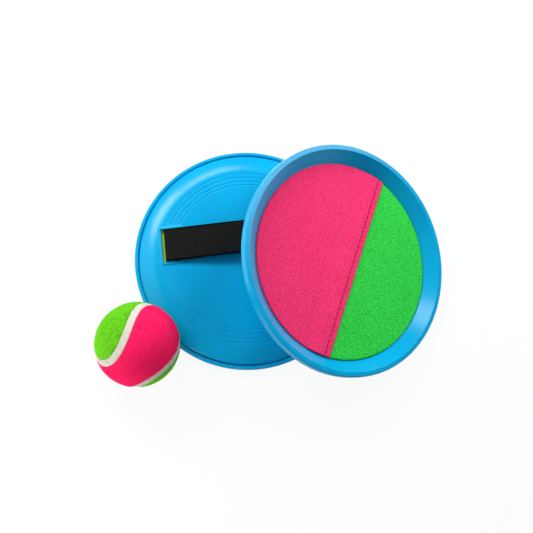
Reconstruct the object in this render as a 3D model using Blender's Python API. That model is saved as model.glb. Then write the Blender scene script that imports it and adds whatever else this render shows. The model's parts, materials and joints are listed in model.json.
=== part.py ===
"""Toss and catch set: two round paddles with hand straps and one felt ball, laid on a flat surface.

Metres, +Z up. The first paddle lies face down, the second leans on it face up, the ball lies beside them.
"""
import math

import bmesh
import bpy
from mathutils import Matrix, Vector

for old in list(bpy.data.objects):
    bpy.data.objects.remove(old, do_unlink=True)

# Fit
GAP = 0.0003                # clearance between pieces that touch
TURN_STEPS = 60             # facets round a paddle

# Paddle dish, measured from the middle of its back; the face side is up
DISH_RADIUS = 0.0875
DISH_HEIGHT = 0.0115        # back of the plate to the top of the lip
PLATE_THICKNESS = 0.0022
LIP_LAND = 0.0016           # flat land on top of the lip
LIP_ROUND = 0.0020          # outer rounding of the lip
LIP_EASE = 0.0007           # inner rounding of the lip
WALL_RUN = 0.0076           # sloped wall between the lip and the bed, seen from above
BED_FILLET = 0.0004
SKIRT_DEPTH = 0.0070        # lip down to the lower edge of the outer skirt
SKIRT_THICKNESS = 0.0025
SKIRT_EASE = 0.0004
GROOVE_WIDTH = 0.0012
GROOVE_DEPTH = 0.0020
BACK_CURVE_RUN = 0.0140     # rounded part of the back, inward from the groove
RING_INSETS = (0.0114, 0.0086, 0.0050, 0.0017)   # fine rings, inward from the rounded part
RING_WIDTH = 0.0010
RING_DEPTH = 0.00035

# Strap
STRAP_WIDTH = 0.0258
STRAP_THICKNESS = 0.0011
STRAP_TAIL = 0.0170         # folded-back tail, from the slot
STRAP_LINE_OFFSET = 0.0140  # strap line off the middle of the paddle
STRAP_BOW = 0.0064          # how far the free strap stands off the back
STRAP_ROUNDING = 0.25       # roundness of the top of the bow; its sides are nearly straight

# Slots and the raised pad round them, at each end of the strap line
PAD_INSET = 0.0083          # pad's far edge, inward from the edge of the bed
PAD_MARGIN_FAR = 0.0014
PAD_MARGIN_NEAR = 0.0022
PAD_MARGIN_SIDE = 0.0018
PAD_CORNER = 0.0016
PAD_RISE = 0.0008
OUTER_SLOT_ROOM = 0.00255   # slot width beyond the strap's thickness
INNER_SLOT_ROOM = 0.0035
BAR_WIDTH = 0.0070
SLOT_END_ROOM = 0.0003      # slot length beyond the strap's width, at each end

# Cloth face
CLOTH_EDGE_ROOM = 0.0004
CLOTH_THICKNESS = 0.0008
SEAM_FROM_CENTRE = 0.0117   # edge of the upper cloth, from the middle of the paddle
SEAM_OVERLAP = 0.0080
SEAM_RAMP = 0.0030

# Ball
BALL_RADIUS = 0.0310
FELT_THICKNESS = 0.0024
CORE_THICKNESS = 0.0034
SEAM_WIDTH = 0.0050
SEAM_SINK = 0.0005
SEAM_SHAPE = 0.745          # share of the slow circle in the two-lobed seam line

# Lay-out on the surface
LEFT_TURN = math.radians(6.2)
RIGHT_AT = Vector((0.0708, -0.0079))
RIGHT_HEADING = math.radians(-7.0)
RIGHT_TILT = math.radians(24.5)
RIGHT_TURN = math.radians(167.2)
BALL_HEADING = math.radians(-138.0)   # direction of the ball from the first paddle
BALL_ROOM = 0.0008                    # the ball stands just clear of the skirt
BALL_TURN_AXIS = Vector((0.610, -1.027, 1.304))

# Sizes that follow from the ones above
LIP_OUT = DISH_RADIUS - LIP_ROUND
LIP_IN = LIP_OUT - LIP_LAND
BED_RADIUS = LIP_IN - LIP_EASE - WALL_RUN - BED_FILLET
SKIRT_LOW = DISH_HEIGHT - SKIRT_DEPTH
SKIRT_IN = DISH_RADIUS - SKIRT_THICKNESS
GROOVE_IN = SKIRT_IN - GROOVE_WIDTH
BACK_FLAT_RADIUS = GROOVE_IN - BACK_CURVE_RUN
PAD_FAR = BED_RADIUS - PAD_INSET
OUTER_SLOT_FAR = PAD_FAR - PAD_MARGIN_FAR
OUTER_SLOT_NEAR = OUTER_SLOT_FAR - STRAP_THICKNESS - OUTER_SLOT_ROOM
INNER_SLOT_FAR = OUTER_SLOT_NEAR - BAR_WIDTH
INNER_SLOT_NEAR = INNER_SLOT_FAR - STRAP_THICKNESS - INNER_SLOT_ROOM
PAD_NEAR = INNER_SLOT_NEAR - PAD_MARGIN_NEAR
SLOT_LENGTH = STRAP_WIDTH + 2.0 * SLOT_END_ROOM
PAD_LENGTH = SLOT_LENGTH + 2.0 * PAD_MARGIN_SIDE
BAR_RECESS = STRAP_THICKNESS + GAP    # the bar is thinned on its face side, so the strap lies flush
CLOTH_RADIUS = BED_RADIUS - CLOTH_EDGE_ROOM


def material(name, colour, roughness):
    made = bpy.data.materials.new(name)
    made.use_nodes = True
    shader = made.node_tree.nodes["Principled BSDF"]
    shader.inputs["Base Color"].default_value = (*colour, 1.0)
    shader.inputs["Roughness"].default_value = roughness
    made.diffuse_color = (*colour, 1.0)
    return made


def add_holder(name):
    """Empty that carries the pieces of one paddle or of the ball."""
    made = bpy.data.objects.new(name, None)
    bpy.context.scene.collection.objects.link(made)
    return made


def add_object(name, shape, holder, surface=None, sharp_deg=30.0):
    """Closed shape as an object under its holder; without a surface it is a cutter."""
    bmesh.ops.recalc_face_normals(shape, faces=shape.faces)
    mesh = bpy.data.meshes.new(name)
    shape.to_mesh(mesh)
    shape.free()
    mesh.shade_smooth()
    mesh.set_sharp_from_angle(angle=math.radians(sharp_deg))
    made = bpy.data.objects.new(name, mesh)
    bpy.context.scene.collection.objects.link(made)
    made.parent = holder
    if surface is None:
        made.hide_render = True
        made.display_type = "WIRE"
    else:
        mesh.materials.append(surface)
    return made


def turned(profile, steps):
    """Profile of (radius, height) spun round Z."""
    shape = bmesh.new()
    corners = [shape.verts.new((radius, 0.0, height)) for radius, height in profile]
    for before, after in zip(corners, corners[1:]):
        shape.edges.new((before, after))
    bmesh.ops.spin(shape, geom=shape.verts[:] + shape.edges[:], cent=(0, 0, 0), axis=(0, 0, 1),
                   angle=2.0 * math.pi, steps=steps, use_merge=True)
    bmesh.ops.remove_doubles(shape, verts=shape.verts, dist=1e-6)
    return shape


def add_block(shape, low, high):
    """Box between two corners, added to a shape; returns its vertices."""
    size = [b - a for a, b in zip(low, high)]
    middle = [0.5 * (a + b) for a, b in zip(low, high)]
    place = Matrix.Translation(middle) @ Matrix.Diagonal((*size, 1.0))
    return bmesh.ops.create_cube(shape, size=1.0, matrix=place)["verts"]


# Dish: one turned section with a lip, an outer skirt, a narrow groove behind it and four fine back rings
def dish_profile():
    profile = [(0.0, 0.0)]
    for inset in RING_INSETS:
        radius = BACK_FLAT_RADIUS - inset
        half = 0.5 * RING_WIDTH
        profile += [(radius - half, 0.0), (radius, RING_DEPTH), (radius + half, 0.0)]
    for share in (0.0, 0.30, 0.55, 0.78, 1.0):
        profile.append((BACK_FLAT_RADIUS + BACK_CURVE_RUN * share, SKIRT_LOW * share ** 1.7))
    profile += [(GROOVE_IN, SKIRT_LOW + GROOVE_DEPTH), (SKIRT_IN, SKIRT_LOW + GROOVE_DEPTH)]
    profile += [(SKIRT_IN, SKIRT_LOW + SKIRT_EASE), (SKIRT_IN + SKIRT_EASE, SKIRT_LOW)]
    profile += [(DISH_RADIUS - SKIRT_EASE, SKIRT_LOW), (DISH_RADIUS, SKIRT_LOW + SKIRT_EASE)]
    for turn in (0.0, 30.0, 60.0, 90.0):
        angle = math.radians(turn)
        profile.append((LIP_OUT + LIP_ROUND * math.cos(angle),
                        DISH_HEIGHT - LIP_ROUND * (1.0 - math.sin(angle))))
    profile += [(LIP_IN, DISH_HEIGHT), (LIP_IN - LIP_EASE, DISH_HEIGHT - 0.5 * LIP_EASE)]
    profile += [(BED_RADIUS + BED_FILLET, PLATE_THICKNESS + 2.0 * BED_FILLET), (BED_RADIUS, PLATE_THICKNESS)]
    profile.append((0.0, PLATE_THICKNESS))
    return profile


def add_dish(side, holder, surface):
    dish = add_object(side + "_dish", turned(dish_profile(), TURN_STEPS), holder, surface)
    pads, slots, recesses = bmesh.new(), bmesh.new(), bmesh.new()
    slot_low, slot_high = -STRAP_LINE_OFFSET - 0.5 * SLOT_LENGTH, -STRAP_LINE_OFFSET + 0.5 * SLOT_LENGTH
    for end in (-1.0, 1.0):
        near, far = sorted((end * PAD_NEAR, end * PAD_FAR))
        pad = add_block(pads, (near, slot_low - PAD_MARGIN_SIDE, -PAD_RISE),
                        (far, slot_high + PAD_MARGIN_SIDE, 0.5 * PLATE_THICKNESS))
        upright = {edge for vertex in pad for edge in vertex.link_edges
                   if abs(edge.verts[0].co.z - edge.verts[1].co.z) > 1e-5}
        upright = sorted(upright, key=lambda edge: (edge.verts[0].co.x, edge.verts[0].co.y))
        bmesh.ops.bevel(pads, geom=upright, offset=PAD_CORNER, segments=3, profile=0.5, affect="EDGES")
        for slot_near, slot_far in ((INNER_SLOT_NEAR, INNER_SLOT_FAR), (OUTER_SLOT_NEAR, OUTER_SLOT_FAR)):
            near, far = sorted((end * slot_near, end * slot_far))
            add_block(slots, (near, slot_low, -4.0 * PAD_RISE), (far, slot_high, 2.0 * PLATE_THICKNESS))
        near, far = sorted((end * (INNER_SLOT_NEAR - GAP), end * (OUTER_SLOT_FAR + GAP)))
        add_block(recesses, (near, slot_low - GAP, PLATE_THICKNESS - BAR_RECESS),
                  (far, slot_high + GAP, 2.5 * PLATE_THICKNESS))
    for label, shape, operation in (("pads", pads, "UNION"), ("slots", slots, "DIFFERENCE"),
                                    ("recesses", recesses, "DIFFERENCE")):
        step = dish.modifiers.new(label, "BOOLEAN")
        step.operation = operation
        step.solver = "EXACT"
        step.object = add_object(side + "_" + label + "_tool", shape, holder)
    return dish


# Strap: one band that bows over the back, goes round a bar at each end and is folded back under itself
STRAP_HALF = 0.5 * STRAP_THICKNESS
STRAP_SPAN = OUTER_SLOT_NEAR                # where the bow starts, at the outer edge of the bar
STRAP_OVER = PAD_RISE + GAP + STRAP_HALF    # middle of the band over the bar, off the back


def bow_height(u, bow):
    """Middle of the free band above the back, at u along the strap line."""
    low, round_top = math.hypot(1.0, STRAP_ROUNDING), STRAP_ROUNDING
    return STRAP_OVER + bow * (low - math.hypot(u / STRAP_SPAN, round_top)) / (low - round_top)


def bow_slope(u, bow):
    """How steeply the free band falls away from the middle of the bow, at u."""
    share = u / STRAP_SPAN
    return bow * share / math.hypot(share, STRAP_ROUNDING) / STRAP_SPAN / (math.hypot(1.0, STRAP_ROUNDING) - STRAP_ROUNDING)


def strap_path(bow):
    under = -(PLATE_THICKNESS - BAR_RECESS) - GAP - STRAP_HALF
    turn = GAP + STRAP_HALF
    apart = STRAP_THICKNESS + GAP
    tail_end = INNER_SLOT_NEAR - STRAP_TAIL
    path = []
    for share in (0.0, 0.2, 0.4, 0.6, 0.8, 1.0):
        u = tail_end + (STRAP_TAIL + GAP) * share
        slope = bow_slope(u, bow)
        length = math.hypot(slope, 1.0)
        path.append((u - apart * slope / length, bow_height(u, bow) - apart / length))
    in_slot = INNER_SLOT_FAR - GAP - STRAP_HALF
    start = path[-1]
    down = start[1] - PAD_RISE + STRAP_HALF
    path.append((start[0] + 0.50 * (in_slot - start[0]), start[1] - 0.34 * down))
    path.append((start[0] + 0.86 * (in_slot - start[0]), start[1] - 0.66 * down))
    path.append((in_slot, start[1] - down))
    leave = 90.0 - math.degrees(math.atan(bow_slope(STRAP_SPAN, bow)))
    for u, h, first, last in ((INNER_SLOT_FAR, under + turn, 180.0, 270.0),
                              (OUTER_SLOT_NEAR, under + turn, 270.0, 360.0),
                              (OUTER_SLOT_NEAR, STRAP_OVER - turn, 0.0, leave)):
        for step in range(4):
            angle = math.radians(first + (last - first) * step / 3.0)
            path.append((u + turn * math.cos(angle), h + turn * math.sin(angle)))
    for share in (0.96, 0.88, 0.78, 0.66, 0.54, 0.42, 0.31, 0.21, 0.13, 0.06):
        path.append((share * STRAP_SPAN, bow_height(share * STRAP_SPAN, bow)))
    return path + [(0.0, bow_height(0.0, bow))] + [(-u, h) for u, h in reversed(path)]


def add_strap(side, bow, holder, surface):
    path = [Vector(point) for point in strap_path(bow)]
    shape = bmesh.new()
    y = -STRAP_LINE_OFFSET - 0.5 * STRAP_WIDTH
    rails = []
    for index, here in enumerate(path):
        steps = []
        if index:
            steps.append((here - path[index - 1]).normalized())
        if index < len(path) - 1:
            steps.append((path[index + 1] - here).normalized())
        along = (steps[0] + steps[-1]).normalized()
        across = Vector((-along.y, along.x)) * STRAP_HALF / max(along.dot(steps[0]), 0.5)
        rails.append([shape.verts.new((p.x, y, -p.y)) for p in (here + across, here - across)])
    edge = [shape.faces.new((a, b, d, c)) for (a, b), (c, d) in zip(rails, rails[1:])]
    swept = bmesh.ops.extrude_face_region(shape, geom=edge)["geom"]
    moved = [item for item in swept if isinstance(item, bmesh.types.BMVert)]
    bmesh.ops.translate(shape, verts=moved, vec=(0.0, STRAP_WIDTH, 0.0))
    return add_object(side + "_strap", shape, holder, surface, 40.0)


# Cloth: a green piece, and a pink one whose edge is lifted over it at the seam
def cloth_piece(columns):
    """Segment of the round bed from columns of (x, lift of its underside), thickened upward."""
    shape = bmesh.new()
    rows = []
    for x, lift in columns:
        reach = max(math.sqrt(max(CLOTH_RADIUS ** 2 - x * x, 0.0)), 0.0020)
        z = PLATE_THICKNESS + GAP + lift
        rows.append([shape.verts.new((x, y, z)) for y in (-reach, reach)])
    under = [shape.faces.new((a, b, d, c)) for (a, b), (c, d) in zip(rows, rows[1:])]
    raised = bmesh.ops.extrude_face_region(shape, geom=under)["geom"]
    moved = [item for item in raised if isinstance(item, bmesh.types.BMVert)]
    bmesh.ops.translate(shape, verts=moved, vec=(0.0, 0.0, CLOTH_THICKNESS))
    return shape


def segment_columns(first, end):
    """Even steps round the rim from x = first to the rim on the side of end."""
    steps = 17
    start = math.acos(max(-1.0, min(1.0, end * first / CLOTH_RADIUS)))
    columns = []
    for step in range(1, steps + 1):
        reach = CLOTH_RADIUS * math.cos(start * (1.0 - step / steps))
        columns.append((end * min(reach, CLOTH_RADIUS - 0.00005), 0.0))
    return columns


def add_cloths(side, holder, pink, green):
    seam = -SEAM_FROM_CENTRE
    lift = CLOTH_THICKNESS + GAP
    columns = [(seam, lift), (seam + SEAM_OVERLAP, lift), (seam + SEAM_OVERLAP + SEAM_RAMP, 0.0)]
    columns += segment_columns(columns[-1][0], 1.0)
    add_object(side + "_pink_cloth", cloth_piece(columns), holder, pink)
    edge = seam + SEAM_OVERLAP - GAP
    add_object(side + "_green_cloth", cloth_piece([(edge, 0.0)] + segment_columns(edge, -1.0)), holder, green)


# Ball: a rubber shell of two bonded halves under two felt panels that meet at a two-lobed seam
def seam_point(t, aside=0.0):
    """Unit vector on the seam line at t, moved sideways on the sphere by the angle aside."""
    slow, fast = SEAM_SHAPE, 1.0 - SEAM_SHAPE
    lift = 2.0 * math.sqrt(slow * fast)
    here = Vector((slow * math.cos(t) + fast * math.cos(3 * t), slow * math.sin(t) - fast * math.sin(3 * t),
                   lift * math.sin(2 * t)))
    along = Vector((-slow * math.sin(t) - 3 * fast * math.sin(3 * t),
                    slow * math.cos(t) - 3 * fast * math.cos(3 * t), 2 * lift * math.cos(2 * t)))
    side = here.cross(along).normalized()
    return (here * math.cos(aside) + side * math.sin(aside)).normalized()


def felt_panel(other_lobes):
    """Shell over one lobe pair of the seam line, ruled across from one side of the lobe to the other."""
    rows, across = 32, 8
    aside = (0.5 * SEAM_WIDTH + GAP) / BALL_RADIUS
    turn = Matrix.Rotation(math.pi if other_lobes else 0.0, 3, "X")
    first, last = -0.25 * math.pi, 0.75 * math.pi
    grid = []
    for row in range(rows + 1):
        t = first + (last - first) * row / rows
        near, far = seam_point(t, aside), seam_point(1.5 * math.pi - t, aside)
        if row in (0, rows):
            grid.append([turn @ near])
        else:
            grid.append([turn @ near.slerp(far, k / across) for k in range(across + 1)])
    shape = bmesh.new()
    rims = []
    for radius in (BALL_RADIUS, BALL_RADIUS - FELT_THICKNESS):
        skin = [[shape.verts.new(p * radius) for p in line] for line in grid]
        for low, high in zip(skin, skin[1:]):
            for k in range(across):
                ring = []
                for line, at in ((low, k), (low, k + 1), (high, k + 1), (high, k)):
                    corner = line[min(at, len(line) - 1)]
                    if corner not in ring:
                        ring.append(corner)
                shape.faces.new(ring)
        rims.append([line[0] for line in skin] + [line[-1] for line in reversed(skin[1:-1])])
    outer, inner = rims
    for i, corner in enumerate(outer):
        after = (i + 1) % len(outer)
        shape.faces.new((corner, outer[after], inner[after], inner[i]))
    return shape


def seam_band():
    steps = 72
    aside = 0.5 * SEAM_WIDTH / BALL_RADIUS
    low, high = BALL_RADIUS - FELT_THICKNESS, BALL_RADIUS - SEAM_SINK
    shape = bmesh.new()
    rings = []
    for step in range(steps):
        t = 2.0 * math.pi * step / steps
        left, right = seam_point(t, -aside), seam_point(t, aside)
        rings.append([shape.verts.new(p) for p in (left * low, right * low, right * high, left * high)])
    for step in range(steps):
        here, after = rings[step], rings[(step + 1) % steps]
        for k in range(4):
            shape.faces.new((here[k], here[(k + 1) % 4], after[(k + 1) % 4], after[k]))
    return shape


def core_half(sign):
    outer = BALL_RADIUS - FELT_THICKNESS - 2.0 * GAP
    inner = outer - CORE_THICKNESS
    rise = 0.5 * GAP
    rings = 6
    profile = []
    for radius, order in ((outer, range(rings + 1)), (inner, range(rings, -1, -1))):
        for ring in order:
            angle = 0.5 * math.pi * (1.0 - ring / rings)
            across = radius * math.cos(angle) if ring else 0.0
            profile.append((across, sign * (rise + (radius - rise) * math.sin(angle))))
    return turned(profile, 20)


def world_corners(piece):
    return [piece.matrix_world @ vertex.co for vertex in piece.data.vertices]


def lowest(pieces):
    return min(corner.z for piece in pieces for corner in world_corners(piece))


def back_height(radius):
    """Height of a dish's back above the flat of its back, at a radius; the face is below."""
    if radius <= BACK_FLAT_RADIUS:
        return 0.0
    if radius <= GROOVE_IN:
        return -SKIRT_LOW * ((radius - BACK_FLAT_RADIUS) / BACK_CURVE_RUN) ** 1.7
    return -SKIRT_LOW


def room_over_left(bow):
    """Least height of the leaning paddle's strap over the back and the strap of the lying one."""
    least = 1.0
    to_left = left_paddle.matrix_world.inverted()
    for u, h in strap_path(bow):
        for aside in (-0.5, -0.25, 0.0, 0.25, 0.5):
            y = -STRAP_LINE_OFFSET + aside * STRAP_WIDTH
            low = right_paddle.matrix_world @ Vector((u, y, -h - STRAP_HALF))
            near = to_left @ low
            radius = math.hypot(near.x, near.y)
            if radius > DISH_RADIUS:
                continue
            top = back_height(radius)
            if abs(near.y + STRAP_LINE_OFFSET) < 0.5 * STRAP_WIDTH + GAP and abs(near.x) < STRAP_SPAN:
                top = max(top, bow_height(near.x, STRAP_BOW) + STRAP_HALF)
            elif abs(near.x) < PAD_FAR and abs(near.y + STRAP_LINE_OFFSET) < 0.5 * PAD_LENGTH:
                top = max(top, STRAP_OVER + STRAP_HALF)
            least = min(least, -near.z - top)
    return least


sides = ("left", "right")
blue_plastic = [material(side + "_blue_plastic", (0.0, 0.42, 0.78), 0.25) for side in sides]
black_webbing = [material(side + "_black_webbing", (0.02, 0.02, 0.02), 0.8) for side in sides]
pink_cloth = [material(side + "_pink_loop_cloth", (0.88, 0.03, 0.18), 0.9) for side in sides]
green_cloth = [material(side + "_green_loop_cloth", (0.03, 0.62, 0.08), 0.9) for side in sides]

left_paddle = add_holder("left_paddle")
left_paddle.rotation_euler = (math.pi, 0.0, LEFT_TURN)
left_paddle.location.z = DISH_HEIGHT
right_paddle = add_holder("right_paddle")
lean = Matrix.Rotation(RIGHT_HEADING, 4, "Z") @ Matrix.Rotation(RIGHT_TILT, 4, "Y")
right_paddle.rotation_euler = (lean @ Matrix.Rotation(RIGHT_TURN, 4, "Z")).to_euler()
right_paddle.location = (RIGHT_AT.x, RIGHT_AT.y, 0.0)
toss_ball = add_holder("toss_ball")
toss_ball.rotation_euler = Matrix.Rotation(BALL_TURN_AXIS.length, 4, BALL_TURN_AXIS.normalized()).to_euler()
ball_reach = math.sqrt(BALL_RADIUS ** 2 - max(BALL_RADIUS - SKIRT_DEPTH, 0.0) ** 2)
ball_away = DISH_RADIUS + ball_reach + BALL_ROOM
toss_ball.location = (ball_away * math.cos(BALL_HEADING), ball_away * math.sin(BALL_HEADING), 0.0)

dishes = [add_dish(side, holder, blue_plastic[k]) for k, (side, holder) in
          enumerate(zip(sides, (left_paddle, right_paddle)))]
bpy.context.view_layer.update()
for dish, holder in zip(dishes, (left_paddle, right_paddle)):
    holder.location.z -= lowest([dish])
bpy.context.view_layer.update()

# The leaning paddle's strap bows until it lies on the back of the other paddle
slack, tight = 0.5 * STRAP_SPAN, 0.0
for attempt in range(40):
    right_bow = 0.5 * (slack + tight)
    if room_over_left(right_bow) > 1.2 * GAP:
        tight = right_bow
    else:
        slack = right_bow
for k, (side, holder, bow) in enumerate(zip(sides, (left_paddle, right_paddle), (STRAP_BOW, right_bow))):
    add_strap(side, bow, holder, black_webbing[k])
    add_cloths(side, holder, pink_cloth[k], green_cloth[k])

ball = [
    add_object("ball_core_half_a", core_half(1.0), toss_ball, material("core_rubber_a", (0.1, 0.1, 0.1), 0.7), 40.0),
    add_object("ball_core_half_b", core_half(-1.0), toss_ball, material("core_rubber_b", (0.1, 0.1, 0.1), 0.7), 40.0),
    add_object("ball_pink_felt", felt_panel(False), toss_ball, material("pink_felt", (0.90, 0.03, 0.14), 0.95), 50.0),
    add_object("ball_green_felt", felt_panel(True), toss_ball, material("green_felt", (0.16, 0.70, 0.03), 0.95), 50.0),
    add_object("ball_seam", seam_band(), toss_ball, material("seam_rubber", (0.82, 0.74, 0.60), 0.7), 50.0),
]
bpy.context.view_layer.update()
toss_ball.location.z -= lowest(ball)
bpy.context.view_layer.update()

# Origin: middle of the footprint of the whole set, on the surface it lies on
shown = [piece for piece in bpy.data.objects if piece.type == "MESH" and not piece.hide_render]
reached = [corner for piece in shown for corner in world_corners(piece)]
middle_x = 0.5 * (min(c.x for c in reached) + max(c.x for c in reached))
middle_y = 0.5 * (min(c.y for c in reached) + max(c.y for c in reached))
for holder in (left_paddle, right_paddle, toss_ball):
    holder.location.x -= middle_x
    holder.location.y -= middle_y
bpy.context.view_layer.update()
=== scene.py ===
import json
import math

import bmesh
import bpy
import numpy as np
from mathutils import Matrix, Vector, noise

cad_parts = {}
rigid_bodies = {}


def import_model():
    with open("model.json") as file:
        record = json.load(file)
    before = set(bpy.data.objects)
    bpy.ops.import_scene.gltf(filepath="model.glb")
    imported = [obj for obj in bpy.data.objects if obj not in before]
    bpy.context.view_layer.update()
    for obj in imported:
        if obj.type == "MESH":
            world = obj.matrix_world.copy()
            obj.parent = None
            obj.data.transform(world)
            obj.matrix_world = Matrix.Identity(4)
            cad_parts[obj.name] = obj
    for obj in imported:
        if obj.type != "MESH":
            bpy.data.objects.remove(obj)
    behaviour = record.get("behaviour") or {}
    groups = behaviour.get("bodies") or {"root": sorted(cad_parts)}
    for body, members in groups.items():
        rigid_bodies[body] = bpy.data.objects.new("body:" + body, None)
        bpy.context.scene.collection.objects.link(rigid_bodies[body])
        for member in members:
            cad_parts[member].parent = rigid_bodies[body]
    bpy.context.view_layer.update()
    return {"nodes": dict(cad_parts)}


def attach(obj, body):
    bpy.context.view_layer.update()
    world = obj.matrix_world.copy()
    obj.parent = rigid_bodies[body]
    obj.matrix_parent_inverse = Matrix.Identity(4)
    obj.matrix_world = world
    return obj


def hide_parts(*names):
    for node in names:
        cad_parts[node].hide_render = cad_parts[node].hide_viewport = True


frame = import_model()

mm = 0.001

# The two paddle dishes. Each is one injection-moulded shell of bright blue polypropylene: a flat back with
# four fine rings, a rounded shoulder, a narrow groove, and a rolled lip round the sunken face. Two raised
# pads on the back hold the strap's slots. The left dish lies face down, the right one leans on it face up.
def laid(spot, *turns):
    """Place of a part of the set: its spot in mm, and its turns as (degrees, axis), the outermost first."""
    place = Matrix.Translation([value * mm for value in spot])
    for degrees, axis in turns:
        place = place @ Matrix.Rotation(math.radians(degrees), 4, axis)
    return place


PADDLES = {
    "left": laid((-21.719, 7.796, 11.5), (6.2, "Z"), (180.0, "X")),
    "right": laid((49.081, -0.104, 32.021), (-7.0, "Z"), (24.5, "Y"), (167.2, "Z")),
}
FIT = 0.3 * mm
PLATE, SKIRT_LOW, GROOVE_TOP, LIP_TOP = 2.2 * mm, 4.5 * mm, 6.5 * mm, 11.5 * mm
BED, LIP_IN, DISH, LIP_EDGE = 75.2 * mm, 83.9 * mm, 87.5 * mm, 1.2 * mm
SHOULDER, GROOVE_IN, GROOVE_OUT = 69.8 * mm, 83.8 * mm, 85.0 * mm
RINGS = (58.4 * mm, 61.2 * mm, 64.8 * mm, 68.1 * mm)
RING_HALF, RING_DEEP = 0.55 * mm, 0.35 * mm
STRAP_Y = -14.0 * mm
INNER_SLOT, OUTER_SLOT, SLOT_HALF = (50.25 * mm, 54.85 * mm), (61.85 * mm, 65.5 * mm), 13.2 * mm
PAD, PAD_HALF, PAD_RISE = (48.05 * mm, 66.9 * mm), 15.0 * mm, 0.8 * mm
PAD_EDGE = ((1.1, 0.75), (0.02, 0.75), (-0.06, 0.50), (-0.20, 0.28), (-0.40, 0.10), (-0.58, -0.08),
            (-0.70, -0.26), (-0.77, -0.46), (-0.80, -0.72))
SLOT_EDGE = ((-2.0, 1.2), (-0.80, 0.30), (-0.70, 0.12), (-0.50, 0.0), (4.4, 0.0))
ROUND_STEPS = 288


def arc(radius, height, size, first, last, steps):
    """Points of a turned section round a corner, from one angle to another in degrees."""
    turns = [math.radians(first + (last - first) * step / steps) for step in range(steps + 1)]
    return [(radius + size * math.cos(turn), height + size * math.sin(turn)) for turn in turns]


def dish_section():
    """Half section of the shell as (radius, height), from the middle of its back round to its face."""
    section = [(radius * mm, 0.0) for radius in (0, 9, 18, 27, 36, 45, 52, 56)]
    for ring in RINGS:
        section.append((ring - 1.5 * RING_HALF, 0.0))
        for step in range(9):
            share = step / 4 - 1
            section.append((ring + RING_HALF * share, RING_DEEP * math.cos(0.5 * math.pi * share) ** 2))
        section.append((ring + 1.5 * RING_HALF, 0.0))
    for step in range(1, 23):
        share = step / 22.5
        section.append((SHOULDER + (GROOVE_IN - SHOULDER) * share, SKIRT_LOW * share ** 1.7))
    small = 0.25 * mm
    section += arc(GROOVE_IN - small, SKIRT_LOW + 1.3 * small, small, -50, 0, 4)
    section += arc(GROOVE_IN + small, GROOVE_TOP - small, small, 180, 90, 4)
    section += arc(GROOVE_OUT - small, GROOVE_TOP - small, small, 90, 0, 4)
    edge = 0.55 * mm
    section += arc(GROOVE_OUT + edge, SKIRT_LOW + edge, edge, 180, 270, 6)
    section += arc(DISH - edge, SKIRT_LOW + edge, edge, 270, 360, 6)
    section += [(DISH, SKIRT_LOW + share * (LIP_TOP - SKIRT_LOW - LIP_EDGE)) for share in (0.3, 0.55, 0.8)]
    section += arc(DISH - LIP_EDGE, LIP_TOP - LIP_EDGE, LIP_EDGE, 0, 90, 12)
    section += [(LIP_IN + 0.8 * mm, LIP_TOP)]
    ease = 0.45 * mm
    section += arc(LIP_IN, LIP_TOP - ease, ease, 90, 137, 6)
    wall_top, wall_foot = section[-1], (BED + 0.55 * mm, PLATE + 0.75 * mm)
    for share in (0.2, 0.4, 0.6, 0.8, 1):
        section.append(tuple(top + (foot - top) * share for top, foot in zip(wall_top, wall_foot)))
    section += [(BED + out * mm, PLATE + up * mm) for out, up in ((0.3, 0.35), (0.1, 0.1), (-0.2, 0.0))]
    return section + [(radius * mm, PLATE) for radius in (73, 68, 60, 50, 40, 30, 20, 10, 0)]


def turned(section, steps):
    """Closed shape of a section spun round Z; a radius of zero makes a single point on the axis."""
    shape, rings = bmesh.new(), []
    for radius, height in section:
        count = steps if radius > 0 else 1
        angles = [2 * math.pi * step / steps for step in range(count)]
        rings.append([shape.verts.new((radius * math.cos(a), radius * math.sin(a), height)) for a in angles])
    for low, high in zip(rings, rings[1:]):
        for step in range(steps):
            corners = []
            for ring, at in ((low, step), (low, step + 1), (high, step + 1), (high, step)):
                corner = ring[at % len(ring)]
                if corner not in corners:
                    corners.append(corner)
            shape.faces.new(corners)
    return shape


def stacked(shape, middle, levels):
    """Closed block of stacked rounded rectangles; a level is (height, half x, half y, corner radius)."""
    loops = []
    for height, half_x, half_y, corner in levels:
        loop = []
        for quarter, (side_x, side_y) in enumerate(((1, 1), (-1, 1), (-1, -1), (1, -1))):
            for step in range(7):
                turn = math.radians(90 * quarter + 15 * step)
                loop.append(shape.verts.new((middle[0] + side_x * (half_x - corner) + corner * math.cos(turn),
                                             middle[1] + side_y * (half_y - corner) + corner * math.sin(turn),
                                             height)))
        loops.append(loop)
    for low, high in zip(loops, loops[1:]):
        for at in range(len(low)):
            after = (at + 1) % len(low)
            shape.faces.new((low[at], low[after], high[after], high[at]))
    shape.faces.new(loops[0])
    shape.faces.new(loops[-1])


def shown(name, shape, place, sharp=35):
    """Puts a shape into the scene, smooth-shaded; each point keeps its place in the piece's own frame."""
    if isinstance(shape, bmesh.types.BMesh):
        bmesh.ops.recalc_face_normals(shape, faces=shape.faces)
        mesh = bpy.data.meshes.new(name)
        shape.to_mesh(mesh)
        shape.free()
    else:
        mesh = shape
    mesh.shade_smooth()
    mesh.set_sharp_from_angle(angle=math.radians(sharp))
    if "own_place" in mesh.attributes:
        mesh.attributes.remove(mesh.attributes["own_place"])
    own = np.empty(3 * len(mesh.vertices), np.float32)
    mesh.vertices.foreach_get("co", own)
    mesh.attributes.new("own_place", "FLOAT_VECTOR", "POINT").data.foreach_set("vector", own)
    mesh.transform(place)
    piece = bpy.data.objects.new(name, mesh)
    bpy.context.scene.collection.objects.link(piece)
    return piece


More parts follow.
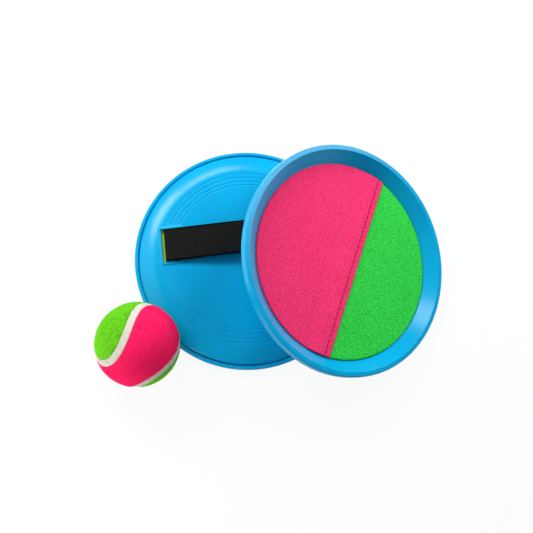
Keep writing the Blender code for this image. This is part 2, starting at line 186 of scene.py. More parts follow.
def dish_mesh():
    """The turned shell with its pads added and its slots and bar recesses cut."""
    dish = shown("dish_blank", turned(dish_section(), ROUND_STEPS), Matrix())
    pads, slots, recesses = bmesh.new(), bmesh.new(), bmesh.new()
    for end in (-1, 1):
        near, far = PAD
        half = 0.5 * (far - near)
        stacked(pads, (end * 0.5 * (near + far), STRAP_Y),
                [(z * mm, half + grow * mm, PAD_HALF + grow * mm, (1.8 + grow) * mm) for z, grow in PAD_EDGE])
        for near, far in (INNER_SLOT, OUTER_SLOT):
            half = 0.5 * (far - near)
            stacked(slots, (end * 0.5 * (near + far), STRAP_Y),
                    [(z * mm, half + grow * mm, SLOT_HALF + grow * mm, (0.5 + grow) * mm)
                     for z, grow in SLOT_EDGE])
        near, far = INNER_SLOT[0] - FIT, OUTER_SLOT[1] + FIT
        stacked(recesses, (end * 0.5 * (near + far), STRAP_Y),
                [(z * mm, 0.5 * (far - near), SLOT_HALF + FIT, 0.6 * mm) for z in (0.8, 5.0)])
    tools = []
    for label, shape, way in (("pads", pads, "UNION"), ("slots", slots, "DIFFERENCE"),
                              ("recesses", recesses, "DIFFERENCE")):
        tool = shown(label + "_tool", shape, Matrix())
        change = dish.modifiers.new(label, "BOOLEAN")
        change.operation, change.solver, change.object = way, "EXACT", tool
        tools.append(tool)
    dish.modifiers.new("even_shading", "WEIGHTED_NORMAL").keep_sharp = True
    bpy.context.view_layer.update()
    mesh = bpy.data.meshes.new_from_object(dish.evaluated_get(bpy.context.evaluated_depsgraph_get()))
    for tool in tools + [dish]:
        bpy.data.objects.remove(tool, do_unlink=True)
    return mesh


def paint(red, green, blue):
    """Colour as a painter reads it, 0 to 255, turned into the shader's linear numbers."""
    linear = [value / 255 / 12.92 if value <= 10 else ((value / 255 + 0.055) / 1.055) ** 2.4
              for value in (red, green, blue)]
    return (*linear, 1.0)


class Field:
    """One value or colour that varies over a surface: it wraps a shader socket, and sums on it add nodes."""

    def __init__(self, tree, socket):
        self.tree, self.socket = tree, socket

    def node(self, kind, settings=(), sockets=(), out=0):
        """Any other node: its settings first, then the values or links of its sockets."""
        made = self.tree.nodes.new("ShaderNode" + kind)
        for name, value in dict(settings).items():
            setattr(made, name, value)
        for name, value in dict(sockets).items():
            if isinstance(value, Field):
                self.tree.links.new(value.socket, made.inputs[name])
            else:
                made.inputs[name].default_value = value
        return Field(self.tree, made.outputs[out])

    def total(self, operation, *terms):
        vector = any(isinstance(term, Field) and term.socket.type == "VECTOR" for term in terms)
        return self.node("VectorMath" if vector else "Math", {"operation": operation}, enumerate(terms))

    def __add__(self, other):
        return self.total("ADD", self, other)

    def __radd__(self, other):
        return self.total("ADD", other, self)

    def __sub__(self, other):
        return self.total("SUBTRACT", self, other)

    def __rsub__(self, other):
        return self.total("SUBTRACT", other, self)

    def __mul__(self, other):
        return self.total("MULTIPLY", self, other)

    def __rmul__(self, other):
        return self.total("MULTIPLY", other, self)

    def sine(self):
        return self.total("SINE", self)

    def size(self):
        """The value without its sign."""
        return self.total("ABSOLUTE", self)

    def grain(self, size, detail=2.0, seed=0.0):
        """Cloudy noise from 0 to 1 whose blotches are about size across, read at this place."""
        here = self + (seed, seed, seed)
        return here.node("TexNoise", (), {"Vector": here, "Scale": 1.0 / size, "Detail": detail})

    def fade(self, low, high):
        """Smooth step from 0 at low to 1 at high."""
        return self.node("MapRange", {"interpolation_type": "SMOOTHSTEP"},
                         {"Value": self, "From Min": low, "From Max": high})

    def blend(self, first, second):
        """Colour that goes from first to second as this value goes from 0 to 1."""
        return self.node("Mix", {"data_type": "RGBA"}, {0: self, 6: first, 7: second}, out=2)

    def relief(self, height, strength=1.0):
        """Surface normal of this height, where 1 stands that many metres proud."""
        return self.node("Bump", (), {"Height": self, "Distance": height, "Strength": strength})


def surface(name, recipe, colour, **fixed):
    """Material: fixed numbers sit on the shader's sockets, and recipe(place) gives what varies over it."""
    made = bpy.data.materials.new(name)
    made.use_nodes = True
    made.diffuse_color = colour
    tree = made.node_tree
    shader = tree.nodes["Principled BSDF"]
    shader.inputs["Base Color"].default_value = colour
    for socket, value in fixed.items():
        shader.inputs[socket.replace("_", " ")].default_value = value
    own = tree.nodes.new("ShaderNodeAttribute")
    own.attribute_name = "own_place"
    for socket, value in recipe(Field(tree, own.outputs["Vector"])).items():
        tree.links.new(value.socket, shader.inputs[socket])
    return made


BLUE, BLUE_DEEP, BLUE_WORN = paint(0, 167, 219), paint(0, 160, 213), paint(24, 180, 228)


def moulded_blue(place):
    """Faint flow clouds and a fine bloom; the lip is glossier, with pale scuffs where hands rub it."""
    flow = place.grain(45 * mm, 2.0)
    fleck = place.grain(0.9 * mm, 1.0, 0.3)
    radius = place.node("VectorMath", {"operation": "LENGTH"}, {0: place * (1.0, 1.0, 0.0)}, out=1)
    lip = radius.fade(84.2 * mm, 87.2 * mm)
    scuff = lip * place.grain(7 * mm, 2.0, 0.7).fade(0.50, 0.75)
    colour = flow.fade(0.35, 0.65).blend(BLUE, BLUE_DEEP)
    colour = (scuff * 0.2).blend(colour, BLUE_WORN)
    return {"Base Color": colour,
            "Roughness": 0.21 + 0.04 * fleck - 0.07 * lip + 0.05 * scuff,
            "Normal": (fleck + 0.5 * place.grain(0.35 * mm, 2.0, 0.9)).relief(0.003 * mm)}


blue_plastic = surface("blue_plastic", moulded_blue, BLUE, IOR=1.49, Specular_IOR_Level=0.28)
dish_blank = dish_mesh()
for side, place in PADDLES.items():
    dish = shown(side + "_moulded_dish", dish_blank.copy(), place)
    dish.data.materials.clear()
    dish.data.materials.append(blue_plastic)
    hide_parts(side + "_dish")
    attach(dish, "root")

# The cloth faces. A round of looped pile cloth is glued into each dish: a green piece, and a pink one whose
# cut edge laps over the green along a straight line. The pile is what the ball's felt clings to.
CLOTH = 74.8 * mm
PILE = 0.8 * mm
PINK_EDGE, GREEN_EDGE, LAP_FLAT, LAP_FOOT = -11.7 * mm, -4.0 * mm, -3.7 * mm, 11.0 * mm
STITCH_X, STITCH_PITCH = -7.2 * mm, 4.3 * mm
RIB_PITCH, WALE_PITCH = 1.83 * mm, 1.5 * mm
CLOTH_SEEDS = {"left": 3, "right": 11}


def eased(low, high, value):
    """Smooth step from 0 at low to 1 at high."""
    share = np.clip((value - low) / (high - low), 0.0, 1.0)
    return share * share * (3.0 - 2.0 * share)


def rolling(points, size, seed):
    """Soft unevenness from -1 to 1 at each point of a grid of places."""
    flat = points.reshape(-1, 3) / size + seed
    return np.array([noise.noise(Vector(p)) for p in flat]).reshape(points.shape[:-1])


def slab(top, under):
    """Closed shape between a grid of places above and the same grid below."""
    rows, columns = top.shape[:2]
    shape = bmesh.new()
    skins = [[[shape.verts.new(p) for p in line] for line in skin] for skin in (top.tolist(), under.tolist())]
    for skin in skins:
        for low, high in zip(skin, skin[1:]):
            for at in range(columns - 1):
                shape.faces.new((low[at], low[at + 1], high[at + 1], high[at]))
    rims = [skin[0] + [line[-1] for line in skin[1:-1]] + skin[-1][::-1] + [line[0] for line in skin[-2:0:-1]]
            for skin in skins]
    for at in range(len(rims[0])):
        after = (at + 1) % len(rims[0])
        shape.faces.new((rims[0][at], rims[0][after], rims[1][after], rims[1][at]))
    return shape


def cloth_shape(columns, side, seed):
    """Segment of the round bed over columns of x; side is 1 for the pink piece and -1 for the green."""
    edges = np.array([0.985, 0.993, 0.9975, 1])
    shares = np.concatenate([-edges[::-1], np.linspace(-0.97, 0.97, 106), edges])
    reach = np.sqrt(np.maximum(CLOTH ** 2 - columns ** 2, (1.5 * mm) ** 2))
    x = np.repeat(columns[:, None], len(shares), 1)
    y = reach[:, None] * shares[None, :]
    low = np.full_like(x, PLATE + FIT)
    from_rim = CLOTH - np.hypot(x, y)
    drop = 0.30 * mm * (1.0 - eased(0.0, 0.7 * mm, from_rim))
    if side > 0:
        low += (PILE + FIT) * (1.0 - eased(LAP_FLAT, LAP_FOOT, x))
        drop += 0.22 * mm * (1.0 - eased(0.0, 0.6 * mm, x - PINK_EDGE))
        near_stitch = np.exp(-((x - STITCH_X) / (0.75 * mm)) ** 2)
        between = 0.5 + 0.5 * np.cos(2 * math.pi * y / STITCH_PITCH)
        drop += near_stitch * (0.06 + 0.14 * between) * mm
    flat = np.stack([x, y, low], -1)
    swell = 0.07 * mm * rolling(flat, 9 * mm, seed) + 0.05 * mm * rolling(flat, 2.5 * mm, seed + 5)
    top = np.stack([x, y, low + PILE - 0.06 * mm - drop + swell], -1)
    return slab(top, flat)


def beside_stitches(across):
    """1 along the stitch row, where the pile is pulled down and gets painted shade."""
    return 1.0 - (across - STITCH_X).size().fade(0.5 * mm, 1.3 * mm)


def below_lap(across):
    """1 next to the pink edge, where the pink edge's shadow is painted on the green pile."""
    return across.fade(PINK_EDGE - 1.7 * mm, PINK_EDGE - 0.2 * mm)


def pile_cloth(colour, deep, pale, backing_and_painted_light, ribbed, painted_shade_line):
    """Looped pile in rows across the seam: painted shade in its hollows, painted glints on its tips, backing
    on its back.
    """
    def recipe(place):
        loops = place.node("TexVoronoi", {"feature": "F1"}, {"Vector": place, "Scale": 1.0 / (0.9 * mm)})
        tuft = place.grain(1.1 * mm, 3.0, 0.2)
        patch = place.grain(16 * mm, 3.0, 0.5)
        across, along, height = (place.node("SeparateXYZ", (), {0: place}, out=axis) for axis in range(3))
        wander = 1.1 * place.grain(9 * mm, 2.0, 0.4)
        ribs = 0.5 + 0.5 * (along * (2 * math.pi / RIB_PITCH) + wander).sine()
        wales = 0.5 + 0.5 * (across * (2 * math.pi / WALE_PITCH) + 3.0 * wander).sine()
        # Painted shade: the last millimetre of pile at the rim is darkened where it meets the dish wall.
        rim = place.node("VectorMath", {"operation": "LENGTH"}, {0: place * (1.0, 1.0, 0.0)}, out=1)
        painted_rim_shade = rim.fade(CLOTH - 1.0 * mm, CLOTH - 0.2 * mm)
        rows = ribbed * ribs * (0.55 + 0.45 * wales)
        # The shade mixes the rib pattern and random tone with painted shade: darker between the loops, along
        # the stitches, beside the pink edge and at the rim.
        shade = (0.55 * tuft.fade(0.40, 0.66) + 0.2 * loops.fade(0.25, 0.7) + rows + 0.25 * patch
                 + 0.5 * painted_shade_line(across) + painted_rim_shade - 0.2)
        relief = 0.4 * (1.0 - loops) + 0.5 * tuft + 1.3 * ribbed * (1.0 - ribs)
        # Painted highlights: pale glints on the loop tips, kept off the rim.
        glints = 0.5 * place.grain(0.8 * mm, 2.0, 0.9).fade(0.56, 0.72) * (1.0 - painted_rim_shade)
        face = glints.blend(shade.blend(colour, deep), pale)
        # The backing shows through the strap slots; on the green piece it is brightened as painted light,
        # standing in for light reaching into the shaded slots.
        above_back = height.fade(PLATE + FIT + 0.1 * mm, PLATE + FIT + 0.3 * mm)
        return {"Base Color": above_back.blend(backing_and_painted_light, face), "Normal": relief.relief(0.20 * mm, 0.8)}
    return recipe


pink_pile = surface(
    "pink_pile_cloth",
    pile_cloth(paint(255, 62, 124), paint(228, 26, 84), paint(255, 104, 156), paint(255, 130, 170),
               ribbed=0.30, painted_shade_line=beside_stitches),
    paint(244, 52, 114), Roughness=0.95, Specular_IOR_Level=0.2)
# The green piece's backing colour is painted light: brighter than the pile, to make up for the shade in the
# slots.
green_pile = surface(
    "green_pile_cloth",
    pile_cloth(paint(64, 232, 86), paint(10, 172, 42), paint(110, 246, 124), paint(186, 255, 122),
               ribbed=0.58, painted_shade_line=below_lap),
    paint(50, 206, 66), Roughness=0.95, Specular_IOR_Level=0.2)
RIM_COLUMNS = 84
LAP_STEPS = (0, 0.15, 0.4, 0.8, 1.4, 2.0, 2.6, 3.1, 3.5, 3.8, 4.1, 4.4, 4.7, 5.0, 5.3, 5.7, 6.2, 6.8, 7.4,
             8.0, 8.6, 9.2, 9.8, 10.4, 11.0, 11.6, 12.1)


def to_the_rim(first):
    """Columns at even steps round the rim, from x = first to the far edge of the cloth."""
    start = math.acos(first / CLOTH)
    turns = [start * (1 - step / RIM_COLUMNS) for step in range(1, RIM_COLUMNS + 1)]
    return [min(CLOTH * math.cos(turn), CLOTH - 0.02 * mm) for turn in turns]


lap = [PINK_EDGE + step * mm for step in LAP_STEPS]
pink_columns = np.array(lap + to_the_rim(lap[-1]))
cut_edge = [-GREEN_EDGE + step * mm for step in (0, 0.3, 0.9)]
green_columns = -np.array(cut_edge + to_the_rim(cut_edge[-1]))
for side, place in PADDLES.items():
    seed = CLOTH_SEEDS[side]
    green = shown(side + "_green_face", cloth_shape(green_columns, -1, seed), place, 60)
    pink = shown(side + "_pink_face", cloth_shape(pink_columns, 1, seed + 40), place, 60)
    for piece, finish, cloth in ((green, green_pile, "_green_cloth"), (pink, pink_pile, "_pink_cloth")):
        piece.data.materials.append(finish)
        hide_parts(side + cloth)
        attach(piece, "root")

# The seam stitching. One row of dark thread runs 4.5 mm in from the pink edge and ties it to the green piece
# below. Each stitch is a short float of thread that dips into the pile at both ends.
STITCH_LONG, THREAD = 2.9 * mm, 0.28 * mm


def stitch_row():
    """All stitches of one seam, each a closed slim spindle that leans a little from the line."""
    shape = bmesh.new()
    around = [math.radians(36 * side) for side in range(10)]
    reach = math.sqrt(CLOTH ** 2 - STITCH_X ** 2) - 1.6 * mm
    count = int(2 * reach / STITCH_PITCH)
    for stitch in range(count + 1):
        middle = (stitch - count / 2) * STITCH_PITCH
        if abs(middle) + 0.5 * STITCH_LONG > reach:
            continue
        rings = []
        lean = 0.12 * mm * math.sin(stitch * 2.4)
        for step in range(13):
            share = step / 6 - 1
            size = THREAD * math.sqrt(max(1 - 0.93 * share ** 2, 0.0)) * (1 + 0.08 * math.cos(9 * share))
            height = PLATE + 2 * FIT + 2 * PILE - 0.28 * mm + 0.16 * mm * (1 - share ** 2)
            across, along = STITCH_X + lean * share, middle + 0.5 * STITCH_LONG * share
            rings.append([shape.verts.new((across + 1.15 * size * math.cos(turn), along,
                                           height + 0.8 * size * math.sin(turn))) for turn in around])
        for low, high in zip(rings, rings[1:]):
            for at in range(10):
                shape.faces.new((low[at], low[(at + 1) % 10], high[(at + 1) % 10], high[at]))
        shape.faces.new(rings[0])
        shape.faces.new(rings[-1])
    return shape


def twisted_thread(place):
    along = place.node("SeparateXYZ", (), {0: place}, out=1)
    ply = 0.5 + 0.5 * (along * (2 * math.pi / (0.5 * mm))).sine()
    return {"Base Color": ply.blend(paint(176, 34, 80), paint(128, 20, 56)), "Normal": ply.relief(0.05 * mm)}


dark_thread = surface("dark_thread", twisted_thread, paint(150, 26, 66), Roughness=0.7,
                      Specular_IOR_Level=0.2)
for side, place in PADDLES.items():
    row = shown(side + "_seam_stitches", stitch_row(), place, 80)
    row.data.materials.append(dark_thread)
    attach(row, "root")
    pink, green = bpy.data.objects[side + "_pink_face"], bpy.data.objects[side + "_green_face"]

# The hand straps. Each is one length of black woven webbing, about 25 mm wide, that bows over the back of its
# paddle. At both ends it goes down the outer slot, under the bar and up the inner slot, and is folded back
# beneath itself.
WEB_HALF, WEB_WIDE = 0.55 * mm, 25.8 * mm
OVER_BAR = PAD_RISE + FIT + WEB_HALF
BOW_END, ROUND_TOP = OUTER_SLOT[0], 0.25
STRAP_TAIL, BAR_RECESS = 17 * mm, 1.4 * mm
BOWS = {"left": 6.4 * mm, "right": 16.499 * mm}
WARP, PICK = WEB_WIDE / 31, 2.4 * mm


def strap_line(bow):
    """Middle line of the webbing as (along the strap, off the back), from one folded end to the other."""
    under, turn, apart = -(PLATE - BAR_RECESS) - FIT - WEB_HALF, FIT + WEB_HALF, 2 * WEB_HALF + FIT
    flank = math.hypot(1, ROUND_TOP) - ROUND_TOP

    def bow_at(u):
        return OVER_BAR + bow * (math.hypot(1, ROUND_TOP) - math.hypot(u / BOW_END, ROUND_TOP)) / flank

    def slope_at(u):
        return bow * u / BOW_END / math.hypot(u / BOW_END, ROUND_TOP) / BOW_END / flank

    line, tail = [], INNER_SLOT[0] - STRAP_TAIL
    for step in range(60):
        u = tail + (STRAP_TAIL + FIT) * step / 59
        length = math.hypot(slope_at(u), 1)
        line.append((u - apart * slope_at(u) / length, bow_at(u) - apart / length))
    in_slot, start = INNER_SLOT[1] - FIT - WEB_HALF, line[-1]
    down = start[1] - PAD_RISE + WEB_HALF
    bend = ((0.28, 0.16), (0.50, 0.34), (0.70, 0.50), (0.86, 0.66), (0.95, 0.83), (1.0, 1.0))
    line += [(start[0] + across * (in_slot - start[0]), start[1] - fall * down) for across, fall in bend]
    leave = 90 - math.degrees(math.atan(slope_at(BOW_END)))
    corners = ((INNER_SLOT[1], under + turn, 180, 270), (OUTER_SLOT[0], under + turn, 270, 360),
               (OUTER_SLOT[0], OVER_BAR - turn, 0, leave))
    for u, height, first, last in corners:
        line += arc(u, height, turn, first, last, 9)
    line += [(share * BOW_END, bow_at(share * BOW_END)) for share in np.linspace(0.98, 0, 80).tolist()]
    line = np.array(line + [(-u, height) for u, height in reversed(line[:-1])])
    for spacing, passes in ((0.15 * mm, 10), (0.54 * mm, 1)):
        run = np.concatenate([[0], np.cumsum(np.hypot(*np.diff(line, axis=0).T))])
        even = np.linspace(0, run[-1], int(run[-1] / spacing) + 1)
        line = np.stack([np.interp(even, run, line[:, k]) for k in (0, 1)], 1)
        for _ in range(passes):
            line[1:-1] = 0.25 * line[:-2] + 0.5 * line[1:-1] + 0.25 * line[2:]
    return line


def strap_shape(bow):
    """The webbing with its weave, how far each point stands on a yarn's crown, 0 to 1, and its cut length."""
    line = strap_line(bow)
    along = np.gradient(line, axis=0)
    along /= np.linalg.norm(along, axis=1)[:, None]
    out = np.stack([-along[:, 1], along[:, 0]], 1)
    run = np.concatenate([[0], np.cumsum(np.hypot(*np.diff(line, axis=0).T))])[:, None]
    edges = np.array([0.982, 0.994, 1])
    across = np.concatenate([-edges[::-1], np.linspace(-0.965, 0.965, 117), edges]) * 0.5 * WEB_WIDE
    column = np.floor(across / WARP)
    ridge = np.abs(np.sin(math.pi * across / WARP)) ** 0.7
    skins, crowns = [], []
    for face in (1, -1):
        slant = 0.35 * face * np.abs(across / WARP - column - 0.5)
        float_ = np.abs(np.sin(math.pi * (run / PICK + 0.5 * np.mod(column, 2) + 0.18 * face + slant))) ** 0.8
        crown = ridge * (0.2 + 0.8 * float_) * (1 - eased(0.88, 0.96, np.abs(across) / (0.5 * WEB_WIDE)))
        rim = 1 - eased(0.965, 1.0, np.abs(across) / (0.5 * WEB_WIDE))
        half = np.minimum(WEB_HALF - 0.20 * mm * (1 - crown), WEB_HALF * (0.5 + 0.5 * np.sqrt(rim)))
        skins.append(np.stack([line[:, 0:1] + face * half * out[:, 0:1], STRAP_Y + across + 0 * run,
                               -(line[:, 1:2] + face * half * out[:, 1:2])], -1))
        crowns.append(crown)
    crown = np.concatenate([crown.ravel() for crown in crowns]).astype(np.float32)
    return slab(*skins), crown, float(run[-1, 0])


def black_webbing(place):
    yarn = place.node("Attribute", {"attribute_name": "crown"}, (), out=2)
    fuzz = place.grain(0.45 * mm, 3.0, 0.1)
    # Painted light: yarn crowns are painted lighter as highlights and the hollows between them near-black as
    # painted shade.
    painted_crown_light = yarn.fade(0.45, 1.0) * (0.5 + 0.9 * fuzz)
    return {"Base Color": painted_crown_light.blend(paint(2, 2, 3), paint(58, 57, 55)),
            "Roughness": 0.6 + 0.3 * fuzz,
            "Normal": fuzz.relief(0.10 * mm)}


webbing = surface("black_webbing", black_webbing, paint(20, 20, 20), Specular_IOR_Level=0.06)
for side, place in PADDLES.items():
    shape, crown, cut = strap_shape(BOWS[side])
    strap = shown(side + "_webbing_strap", shape, place, 75)
    strap.data.attributes.new("crown", "FLOAT", "POINT").data.foreach_set("value", crown)
    strap.data.materials.append(webbing)
    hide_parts(side + "_strap")
    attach(strap, "root")

# The ball. Two rubber half shells are bonded into a hollow core, and two dog-bone panels of wool felt, one
# pink and one green, are glued on it. Cream seam compound fills the line between them, a little below the
# nap.
BALL_TURN = Vector((0.610, -1.027, 1.304))
BALL = laid((-101.920, -64.417, 30.929), (math.degrees(BALL_TURN.length), BALL_TURN.normalized()))
BALL_R, FELT, SEAM_HALF = 31 * mm, 2.4 * mm, 2.5 * mm
SLOW = 0.745
FELT_SEEDS, FIBRES = {"pink": 21, "green": 33}, 6200
FELT_SHADES = {
    "pink": (paint(255, 28, 98), paint(240, 8, 72), paint(255, 84, 140)),
    "green": (paint(106, 198, 28), paint(52, 148, 6), paint(156, 226, 72)),
}


def seam_points(t, aside):
    """Unit vectors on the seam line at t, moved sideways on the sphere by the angle aside."""
    fast, lift = 1 - SLOW, 2 * math.sqrt(SLOW * (1 - SLOW))
    here = np.stack([SLOW * np.cos(t) + fast * np.cos(3 * t),
                     SLOW * np.sin(t) - fast * np.sin(3 * t),
                     lift * np.sin(2 * t)], -1)
    along = np.stack([-SLOW * np.sin(t) - 3 * fast * np.sin(3 * t),
                      SLOW * np.cos(t) - 3 * fast * np.cos(3 * t),
                      2 * lift * np.cos(2 * t)], -1)
    side = np.cross(here, along)
    side /= np.linalg.norm(side, axis=-1, keepdims=True)
    aside = np.asarray(aside)[..., None]
    moved = here * np.cos(aside) + side * np.sin(aside)
    return moved / np.linalg.norm(moved, axis=-1, keepdims=True)


def above_floor(points):
    """Points in the ball's own frame, with any that would reach below the floor pushed up onto it."""
    turn, centre = np.array(BALL.to_3x3()), np.array(BALL.translation)
    world = points @ turn.T + centre
    world[..., 2] = np.maximum(world[..., 2], 0.02 * mm)
    return (world - centre) @ turn


def felt_skins(other, seed):
    """Outer and inner grid of one panel, ruled across it from one side of the seam line to the other."""
    rows, columns = 250, 70
    t = np.linspace(-0.25 * math.pi, 0.75 * math.pi, rows + 1)
    turn = np.diag([1.0, -1.0, -1.0]) if other else np.eye(3)
    wave = np.array([noise.noise(Vector((7 * math.cos(a) + seed, 7 * math.sin(a), 0.0))) +
                     1.1 * noise.noise(Vector((30 * math.cos(a), 30 * math.sin(a), seed))) for a in t])
    back_wave = np.roll(wave, 37)
    near = seam_points(t, (SEAM_HALF + FIT + 0.36 * mm * wave) / BALL_R)
    far = seam_points(1.5 * math.pi - t, (SEAM_HALF + FIT + 0.36 * mm * back_wave) / BALL_R)
    middle_ends = 0.5 * (near[[0, -1]] + far[[0, -1]])
    near[[0, -1]] = far[[0, -1]] = middle_ends / np.linalg.norm(middle_ends, axis=-1, keepdims=True)
    angle = np.arccos(np.clip((near * far).sum(-1), -1, 1))[:, None]
    even = np.linspace(0, 1, columns + 1)
    share = (0.5 - 0.5 * np.cos(math.pi * even) * 0.94 - 0.03 * (1 - 2 * even))[None, :]
    share = (share - share[0, 0]) / (share[0, -1] - share[0, 0])
    safe = np.maximum(np.sin(angle), 1e-6)
    from_near = (np.sin((1 - share) * angle) / safe)[..., None] * near[:, None]
    skin = from_near + (np.sin(share * angle) / safe)[..., None] * far[:, None]
    skin[0], skin[-1] = near[0], near[-1]
    skin /= np.linalg.norm(skin, axis=-1, keepdims=True)
    skin = skin @ turn.T
    from_edge = np.minimum(share, 1 - share) * angle * BALL_R
    for tip in (skin[0, 0], skin[-1, 0]):
        from_edge = np.minimum(from_edge, np.linalg.norm(skin - tip, axis=-1) * BALL_R)
    nap = 0.22 * mm * rolling(skin * BALL_R, 1.5 * mm, seed)
    nap = nap + 0.12 * mm * rolling(skin * BALL_R, 4 * mm, seed + 9)
    rounded_off = 0.55 * mm * (1 - eased(0, 1.2 * mm, from_edge))
    height = BALL_R - 0.25 * mm - rounded_off + nap * eased(0, 0.5 * mm, from_edge)
    return skin * height[..., None], skin * (BALL_R - FELT)


def joined(shape):
    """Merges the points that meet where a panel's rows run together at its two ends."""
    bmesh.ops.remove_doubles(shape, verts=shape.verts, dist=0.004 * mm)
    bmesh.ops.dissolve_degenerate(shape, edges=shape.edges, dist=0.002 * mm)
    return shape


def nap_fibres(skin, count, seed):
    """Loose wool fibres as slim closed spikes rooted in the felt."""
    draw = np.random.RandomState(seed)
    a, b, c, d = skin[:-1, :-1], skin[:-1, 1:], skin[1:, 1:], skin[1:, :-1]
    area = np.linalg.norm(np.cross(c - a, d - b), axis=-1).ravel()
    pick = draw.choice(area.size, count, p=area / area.sum())
    s, t = draw.rand(count, 1), draw.rand(count, 1)
    a, b, c, d = (corner.reshape(-1, 3)[pick] for corner in (a, b, c, d))
    root = (a * (1 - s) + b * s) * (1 - t) + (d * (1 - s) + c * s) * t
    out = root / np.linalg.norm(root, axis=1, keepdims=True)
    lean = draw.normal(size=(count, 3))
    lean -= out * (lean * out).sum(1, keepdims=True)
    lean /= np.linalg.norm(lean, axis=1, keepdims=True)
    twist = np.cross(out, lean)
    long = (0.45 + 0.55 * draw.rand(count, 1)) * mm
    rise = 0.25 + 0.45 * draw.rand(count, 1)
    curl = draw.normal(size=(count, 1)) * 0.35
    middle = root + long * (0.50 * rise * out + 0.45 * lean)
    tip = middle + long * (0.30 * rise * out + 0.40 * lean + curl * twist)
    places = []
    for centre, size in ((root - 0.08 * mm * out, 0.042 * mm), (middle, 0.032 * mm)):
        for k in range(3):
            turn = 2 * math.pi * k / 3
            places.append(centre + size * (math.cos(turn) * twist + math.sin(turn) * out))
    places = above_floor(np.stack(places + [tip], 1)).reshape(-1, 3)
    pattern = [(0, 2, 1), (0, 1, 4, 3), (1, 2, 5, 4), (2, 0, 3, 5), (3, 4, 6), (4, 5, 6), (5, 3, 6)]
    faces = [tuple(7 * fibre + k for k in face) for fibre in range(count) for face in pattern]
    mesh = bpy.data.meshes.new("nap")
    mesh.from_pydata(places.tolist(), [], faces)
    return mesh


def wool_felt(colour, deep, pale):
    def recipe(place):
        fibre = place.grain(0.5 * mm, 4.0, 0.1)
        clump = place.grain(1.7 * mm, 3.0, 0.6)
        mottle = place.grain(6 * mm, 2.0, 0.8)
        shade = (clump.fade(0.46, 0.60) + 0.5 * fibre.fade(0.45, 0.65)) * (0.35 + 0.9 * mottle)
        # Painted highlights: pale glints where fibres and clumps peak.
        painted_glints = 0.45 * (fibre * clump).fade(0.26, 0.38)
        return {"Base Color": painted_glints.blend(shade.blend(colour, deep), pale),
                "Normal": (0.6 * fibre - 0.9 * clump).relief(0.35 * mm, 0.9)}
    return recipe


# The fibres vary in tone at random; their paler colour also stands in for the fuzz's sheen at the ball's
# edges, as painted light.
def nap_colour(colour, pale):
    def recipe(place):
        return {"Base Color": place.grain(1.0 * mm, 2.0, 0.3).fade(0.3, 0.7).blend(colour, pale)}
    return recipe


for label, shades in FELT_SHADES.items():
    seed = FELT_SEEDS[label]
    outer, inner = felt_skins(label == "green", seed)
    panel = shown("ball_" + label + "_panel", joined(slab(above_floor(outer), inner)), BALL, 80)
    felt = surface(label + "_felt", wool_felt(*shades), shades[0], Roughness=0.95, Specular_IOR_Level=0.05,
                   Sheen_Weight=1.0, Sheen_Roughness=0.45, Sheen_Tint=shades[0])
    panel.data.materials.append(felt)
    fibres = shown("ball_" + label + "_nap", nap_fibres(outer, FIBRES, seed), BALL, 80)
    wool = surface(label + "_nap", nap_colour(shades[0], shades[2]), shades[0], Roughness=0.9,
                   Specular_IOR_Level=0.2)
    fibres.data.materials.append(wool)
    node = "ball_" + label + "_felt"
    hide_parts(node)
    for piece in (panel, fibres):
        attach(piece, "root")


def seam_shape():
    """Closed band along the seam line, hollow across its top; a level of it is (share aside, depth in mm)."""
    steps = 420
    t = np.linspace(0, 2 * math.pi, steps, endpoint=False)
    half = [(0.0, -0.65), (0.3, -0.63), (0.6, -0.58), (0.93, -0.50), (1.0, -0.62), (1.0, -2.4)]
    profile = [(-aside, depth) for aside, depth in half[:0:-1]] + half
    lines = []
    for aside, depth in profile:
        line = seam_points(t, np.full(steps, aside * (SEAM_HALF + 0.2 * mm) / BALL_R))
        rough = 0.05 * mm * rolling(line * BALL_R, 1.4 * mm, 2.0) if depth > -1 else 0.0
        lines.append(above_floor(line * (BALL_R + depth * mm + rough)[..., None]) if depth > -1
                     else line * (BALL_R + depth * mm))
    shape = bmesh.new()
    rings = [[shape.verts.new(p) for p in line.tolist()] for line in lines]
    for at, ring in enumerate(rings):
        after = rings[(at + 1) % len(rings)]
        for step in range(steps):
            shape.faces.new((ring[step], ring[(step + 1) % steps], after[(step + 1) % steps], after[step]))
    return shape


def seam_compound(place):
    grime = place.grain(3 * mm, 4.0, 0.2)
    lint = place.grain(0.5 * mm, 3.0, 0.5)
    soiled = 0.6 * grime.fade(0.45, 0.75) + 0.3 * lint.fade(0.5, 0.7)
    return {"Base Color": soiled.blend(paint(211, 204, 188), paint(178, 166, 144)),
            "Normal": (grime + lint).relief(0.12 * mm)}


cream_seam = surface("cream_seam", seam_compound, paint(202, 194, 178), Roughness=0.8, Specular_IOR_Level=0.2)
seam = shown("ball_seam_line", seam_shape(), BALL, 60)
seam.data.materials.append(cream_seam)
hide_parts("ball_seam")
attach(seam, "root")


def bare_rubber(place):
    chalk = place.grain(2 * mm, 4.0)
    return {"Base Color": chalk.fade(0.4, 0.8).blend(paint(38, 38, 40), paint(70, 70, 72)),
            "Normal": chalk.relief(0.05 * mm)}


core_rubber = surface("core_rubber", bare_rubber, paint(44, 44, 46), Roughness=0.8)
for half in ("ball_core_half_a", "ball_core_half_b"):
    for slot in frame["nodes"][half].material_slots:
        slot.material = core_rubber

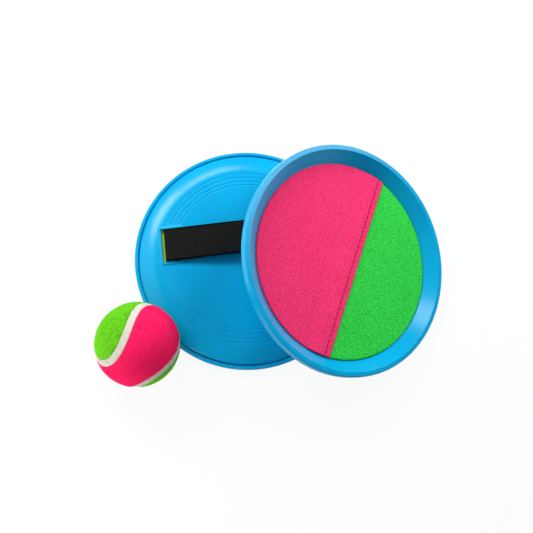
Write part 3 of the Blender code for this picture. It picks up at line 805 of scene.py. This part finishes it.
# The floor and the light. The set lies on a plain white table. Soft boxes stand at the upper left, far at the
# back, at the back right and at the left, with a small one by the ball and dim even light from all round.
def white_to_camera(tree, plain, kind, output, share):
    """Shows white, by this share, to rays straight from the camera, and the plain surface to all others."""
    seen = Field(tree, tree.nodes.new("ShaderNodeLightPath").outputs["Is Camera Ray"])
    white = seen.node(kind, (), {"Color": (1.0, 1.0, 1.0, 1.0), "Strength": 1.0})
    mixed = seen.node("MixShader", (), {0: share * seen, 1: Field(tree, plain.outputs[0]), 2: white})
    tree.links.new(mixed.socket, tree.nodes[output].inputs["Surface"])


table = bpy.data.meshes.new("table_top")
table.from_pydata([(-4, -4, 0), (4, -4, 0), (4, 4, 0), (-4, 4, 0)], [], [(0, 1, 2, 3)])
floor = bpy.data.objects.new("table_top", table)
bpy.context.scene.collection.objects.link(floor)
floor.location.z = -0.00005
white = bpy.data.materials.new("white_table")
white.use_nodes = True
tree = white.node_tree
matt = tree.nodes["Principled BSDF"]
matt.inputs["Base Color"].default_value = (0.92, 0.92, 0.92, 1.0)
matt.inputs["Roughness"].default_value = 0.9
matt.inputs["Specular IOR Level"].default_value = 0.1
white_to_camera(tree, matt, "Emission", "Material Output", 0.92)
floor.data.materials.append(white)

room = bpy.data.worlds.new("pale_room")
room.use_nodes = True
tree = room.node_tree
dim = tree.nodes["Background"]
dim.inputs["Color"].default_value = (0.75, 0.91, 1.0, 1.0)
dim.inputs["Strength"].default_value = 0.16
white_to_camera(tree, dim, "Background", "World Output", 1.0)
bpy.context.scene.world = room


def soft_box(name, place, aim, wide, high, power):
    lamp = bpy.data.lights.new(name, "AREA")
    lamp.shape, lamp.size, lamp.size_y, lamp.energy = "RECTANGLE", wide, high, power
    holder = bpy.data.objects.new(name, lamp)
    bpy.context.scene.collection.objects.link(holder)
    holder.location = place
    holder.rotation_euler = (Vector(aim) - Vector(place)).to_track_quat("-Z", "Y").to_euler()


soft_box("soft_box_upper_left", (-0.35, 0.31, 0.38), (-0.04, 0.0, 0.0), 0.21, 0.18, 1.6)
soft_box("soft_box_back", (-0.28, 0.95, 1.00), (0.0, 0.0, 0.0), 0.45, 0.42, 5.8)
soft_box("soft_box_back_right", (0.42, 0.36, 0.50), (0.03, 0.0, 0.0), 0.46, 0.40, 3.6)
soft_box("soft_box_left", (-0.46, -0.04, 0.32), (-0.08, -0.01, 0.0), 0.60, 0.50, 0.85)
soft_box("small_box_by_the_ball", (-0.21, -0.22, 0.07), (-0.102, -0.064, 0.02), 0.12, 0.12, 0.22)

# The camera stands almost over the set, a little in front of it and to its left, as in the photograph. The
# table's own directions to the right, to the far side and up are written as the camera sees them.
UP_SEEN = Vector((0.06507, 0.2294, 0.9712)).normalized()
RIGHT_SEEN = (Vector((1, 0, 0)) - UP_SEEN * UP_SEEN.x).normalized()
FAR_SEEN = UP_SEEN.cross(RIGHT_SEEN)
TARGET, DISTANCE = Vector((-0.00621, 0.00229, 0.0)), 0.6
FOCAL_PIXELS, PICTURE, SENSOR = 756.6, 533, 36.0
turn = Matrix((RIGHT_SEEN, FAR_SEEN, UP_SEEN))
lens = bpy.data.cameras.new("camera")
lens.sensor_width = SENSOR
lens.lens = FOCAL_PIXELS * SENSOR / PICTURE
lens.clip_start, lens.clip_end = 0.01, 20.0
camera = bpy.data.objects.new("camera", lens)
bpy.context.scene.collection.objects.link(camera)
camera.matrix_world = Matrix.Translation(TARGET + turn @ Vector((0, 0, DISTANCE))) @ turn.to_4x4()
bpy.context.scene.camera = camera
bpy.context.scene.view_settings.view_transform = "Standard"

bpy.context.view_layer.update()
